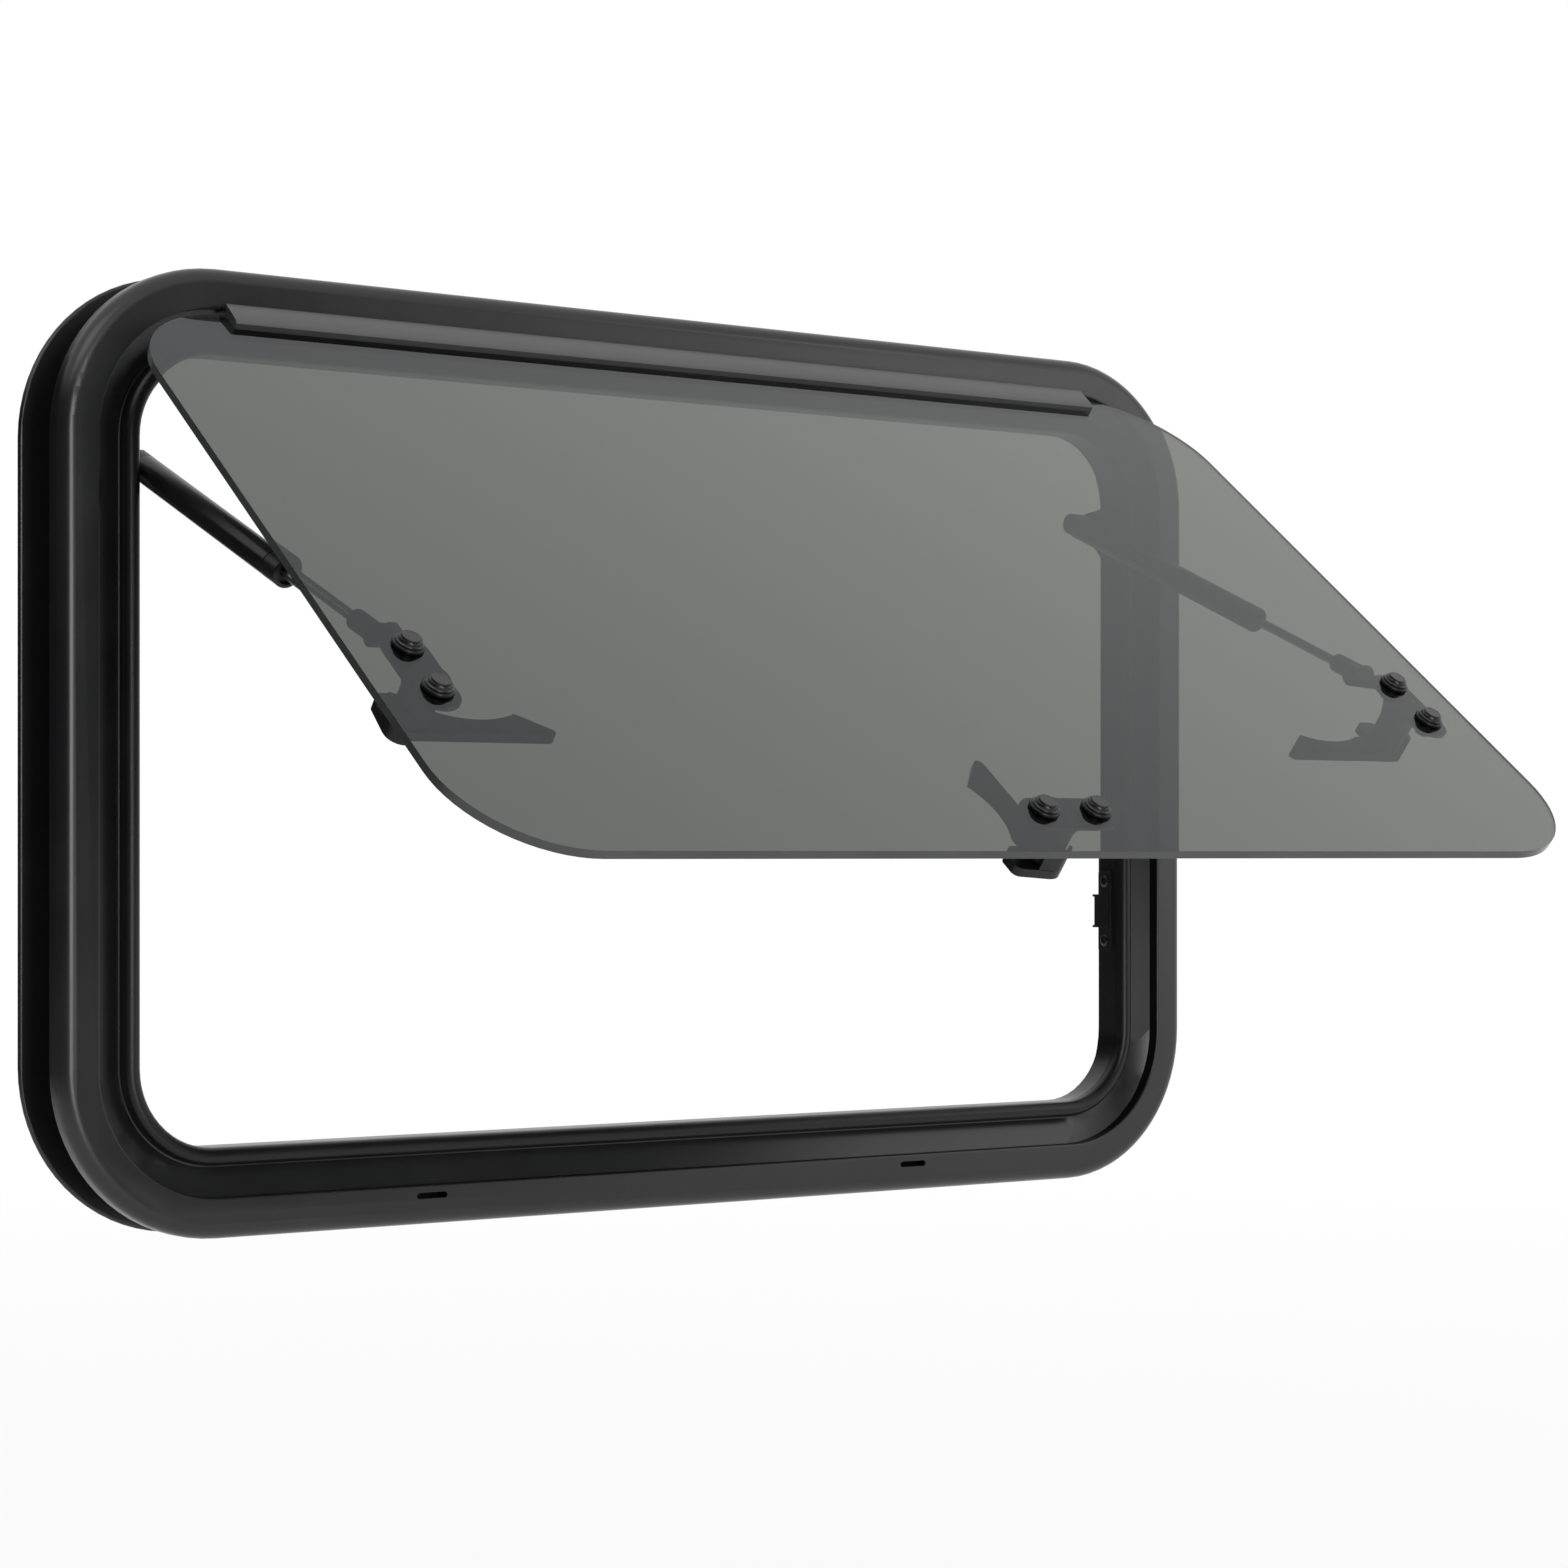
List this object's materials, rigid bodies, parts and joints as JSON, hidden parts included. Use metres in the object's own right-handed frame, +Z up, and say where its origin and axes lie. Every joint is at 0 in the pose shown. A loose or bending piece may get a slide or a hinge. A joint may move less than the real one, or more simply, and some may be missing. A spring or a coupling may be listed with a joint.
{
  "type": "caravan window",
  "caption": "Top-hinged caravan window: black rounded frame, tinted pane propped open by telescopic struts, lever latches and a clamp ring behind.",
  "frame": {"origin": "middle of the bottom flange's flat sealing land, on the face that lies on the wall's outer skin", "axes": "+X to the right seen from outside, +Y inward through the wall, +Z up"},
  "size_m": [0.85, 0.4597, 0.56],
  "materials": {
    "black_aluminium": "satin black powder coat",
    "black_rubber": "matt",
    "tinted_glass": "grey-green tint, polished edges",
    "dark_steel": "dark grey, satin",
    "strut_rod": "drawn",
    "strut_tube": "satin dark grey",
    "black_plastic": "fine moulded grain"
  },
  "bodies": {
    "frame": {"outer_frame": "black_aluminium", "glazing_seal": "black_rubber", "clamp_ring": "black_aluminium", "ring_screws": "dark_steel", "hinge_rail": "black_aluminium", "left_stay_bracket": "black_aluminium", "right_stay_bracket": "black_aluminium", "stay_screws": "dark_steel", "left_strike": "black_aluminium", "right_strike": "black_aluminium", "strike_screws": "dark_steel"},
    "sash": {"glass_pane": "tinted_glass", "hinge_strip": "black_aluminium", "left_bracket": "black_aluminium", "right_bracket": "black_aluminium", "bottom_bracket": "black_aluminium", "left_washers": "black_rubber", "right_washers": "black_rubber", "bottom_washers": "black_rubber", "left_bolts": "dark_steel", "right_bolts": "dark_steel", "bottom_bolts": "dark_steel", "left_housing": "black_plastic", "right_housing": "black_plastic", "bottom_housing": "black_plastic"},
    "left_handle": {"left_lever": "black_plastic", "left_lever_cap": "black_plastic"},
    "right_handle": {"right_lever": "black_plastic", "right_lever_cap": "black_plastic"},
    "bottom_handle": {"bottom_lever": "black_plastic", "bottom_lever_cap": "black_plastic"},
    "left_strut_rod": {"left_rod": "strut_rod", "left_rod_end": "black_plastic"},
    "left_strut_tube": {"left_tube": "strut_tube", "left_gland": "black_plastic", "left_socket": "black_plastic"},
    "right_strut_rod": {"right_rod": "strut_rod", "right_rod_end": "black_plastic"},
    "right_strut_tube": {"right_tube": "strut_tube", "right_gland": "black_plastic", "right_socket": "black_plastic"}
  },
  "joints": [
    {"name": "sash_hinge", "type": "hinge", "parent": "frame", "child": "sash", "pos_m": [0, -0.019, 0.5163], "axis": [1, 0, 0], "range_deg": [0, 52.15]},
    {"name": "left_lever_turn", "type": "hinge", "parent": "sash", "child": "left_handle", "pos_m": [-0.354, -0.29298, 0.2939], "axis": [0, -0.6136, 0.7896], "range_deg": [0, 90]},
    {"name": "right_lever_turn", "type": "hinge", "parent": "sash", "child": "right_handle", "pos_m": [0.354, -0.29298, 0.2939], "axis": [0, 0.6136, -0.7896], "range_deg": [0, 90]},
    {"name": "bottom_lever_turn", "type": "hinge", "parent": "sash", "child": "bottom_handle", "pos_m": [-0.003, -0.38062, 0.22579], "axis": [0, -0.6136, 0.7896], "range_deg": [0, 90]},
    {"name": "left_strut_swing", "type": "hinge", "parent": "sash", "child": "left_strut_rod", "pos_m": [-0.359, -0.25033, 0.31399], "axis": [1, 0, 0], "range_deg": [0, 8.02]},
    {"name": "left_strut_slide", "type": "slide", "parent": "left_strut_rod", "child": "left_strut_tube", "axis": [0, 0.9214, 0.3885], "range_m": [-0.07732, 0]},
    {"name": "right_strut_swing", "type": "hinge", "parent": "sash", "child": "right_strut_rod", "pos_m": [0.359, -0.25033, 0.31399], "axis": [1, 0, 0], "range_deg": [0, 8.02]},
    {"name": "right_strut_slide", "type": "slide", "parent": "right_strut_rod", "child": "right_strut_tube", "axis": [0, 0.9214, 0.3885], "range_m": [-0.07732, 0]}
  ],
  "couplings": [
    {"joint": "left_strut_swing", "follows": "sash_hinge", "ratio": 0.15288},
    {"joint": "left_strut_slide", "follows": "sash_hinge", "m_per_rad": -0.084842},
    {"joint": "right_strut_swing", "follows": "sash_hinge", "ratio": 0.15288},
    {"joint": "right_strut_slide", "follows": "sash_hinge", "m_per_rad": -0.084842}
  ]
}
